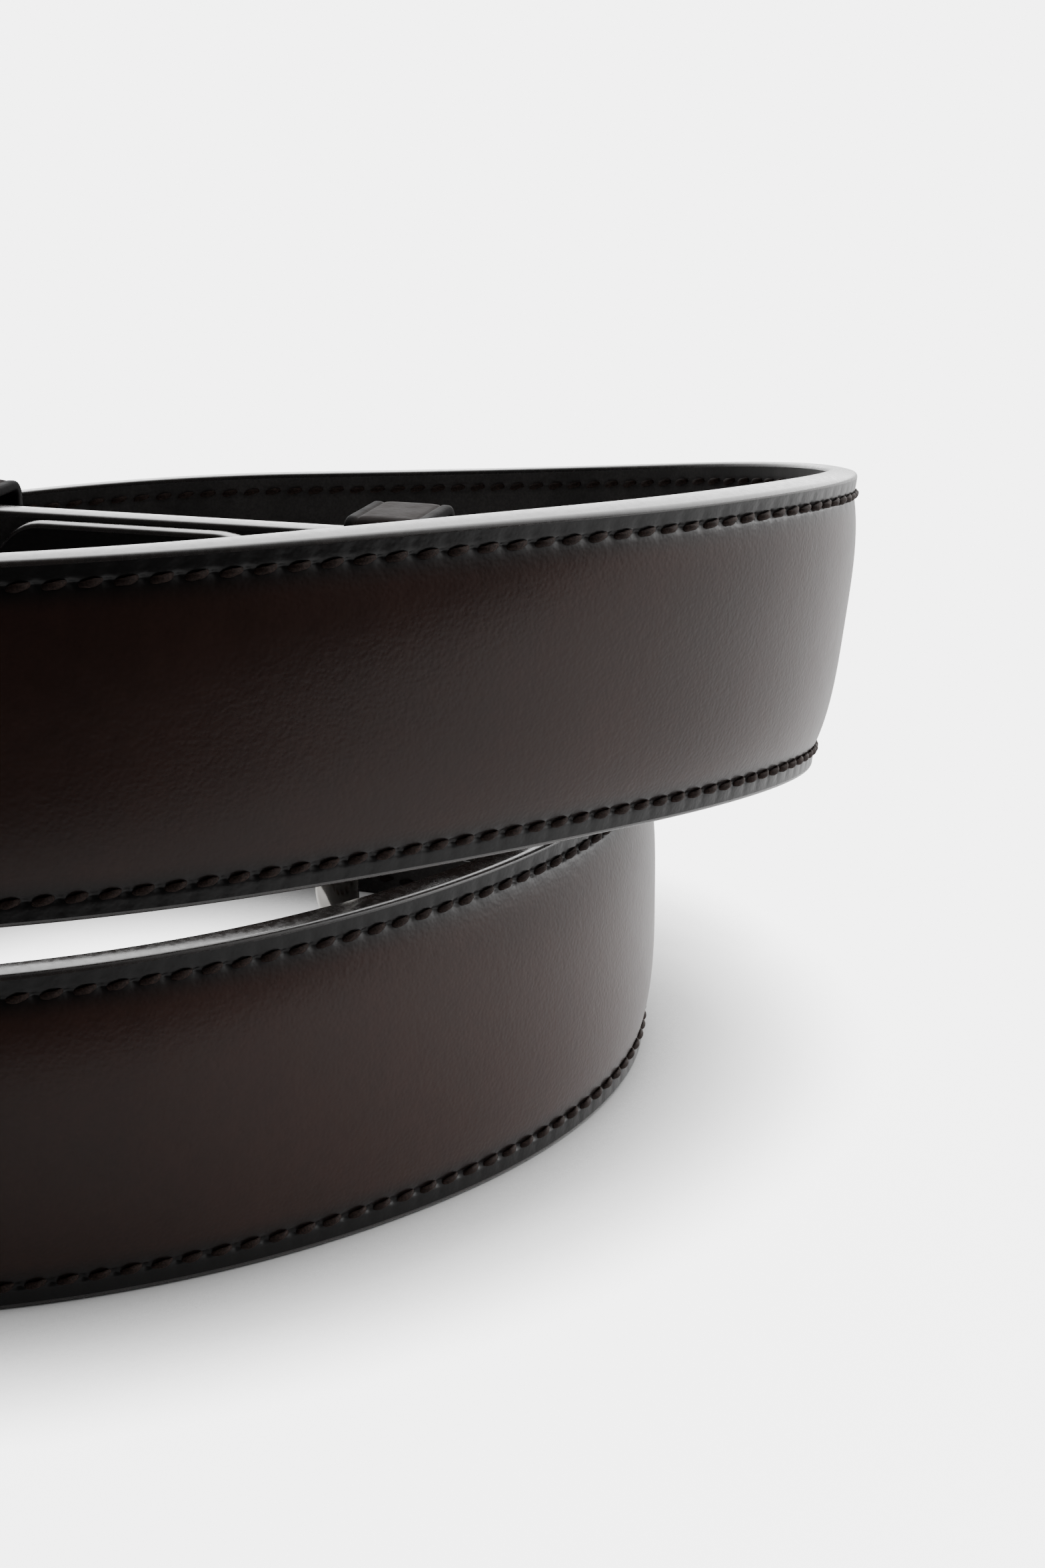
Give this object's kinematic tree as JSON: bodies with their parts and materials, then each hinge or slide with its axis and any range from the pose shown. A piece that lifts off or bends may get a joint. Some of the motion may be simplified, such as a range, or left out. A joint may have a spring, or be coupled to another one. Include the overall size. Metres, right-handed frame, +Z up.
{
  "type": "dress belt",
  "caption": "Coiled leather dress belt: padded stitched strap with a pointed end and punched holes, pronged bar buckle that swings, fixed keeper and sliding keeper.",
  "frame": {"origin": "middle of the coil's outline in plan, on the surface that the lower edge of the lower turn rests on", "axes": "+Z up, across the strap; +X along the straight buckle end, towards the buckle; +Y the side of the straight buckle end that its face leather is on"},
  "size_m": [0.1785, 0.1674, 0.075],
  "materials": {
    "calf": "smooth semi-gloss calf, dark brown, burnished edges",
    "lining": "matte split leather lining",
    "board": "bonded fibre board",
    "felt": "soft felt",
    "thread": "waxed twisted thread",
    "nickel": "polished nickel plate",
    "steel": "plain steel"
  },
  "bodies": {
    "strap": {"face_leather": "calf", "lining_leather": "lining", "stiffener": "board", "padding": "felt", "needle_thread": "thread", "bobbin_thread": "thread", "fixed_keeper": "calf", "fixed_keeper_staple": "steel", "screw_post_1": "nickel", "screw_post_2": "nickel", "tab_screw_1": "nickel", "tab_screw_2": "nickel"},
    "buckle": {"buckle_frame": "nickel", "buckle_bar": "steel"},
    "prong": {"prong": "nickel"},
    "loose_keeper": {"loose_keeper": "calf", "loose_keeper_staple": "steel"}
  },
  "joints": [
    {"name": "buckle_hinge", "type": "hinge", "parent": "strap", "child": "buckle", "pos_m": [0.05678, -0.00994, 0.04799], "axis": [0, 0, 1], "range_deg": [-38, 2]},
    {"name": "prong_hinge", "type": "hinge", "parent": "buckle", "child": "prong", "pos_m": [0.05678, -0.00994, 0.04799], "axis": [0, 0, 1], "range_deg": [0, 16]},
    {"name": "loose_keeper_slide", "type": "slide", "parent": "strap", "child": "loose_keeper", "axis": [1, 0, 0], "range_m": [-0.002, 0.029]}
  ]
}
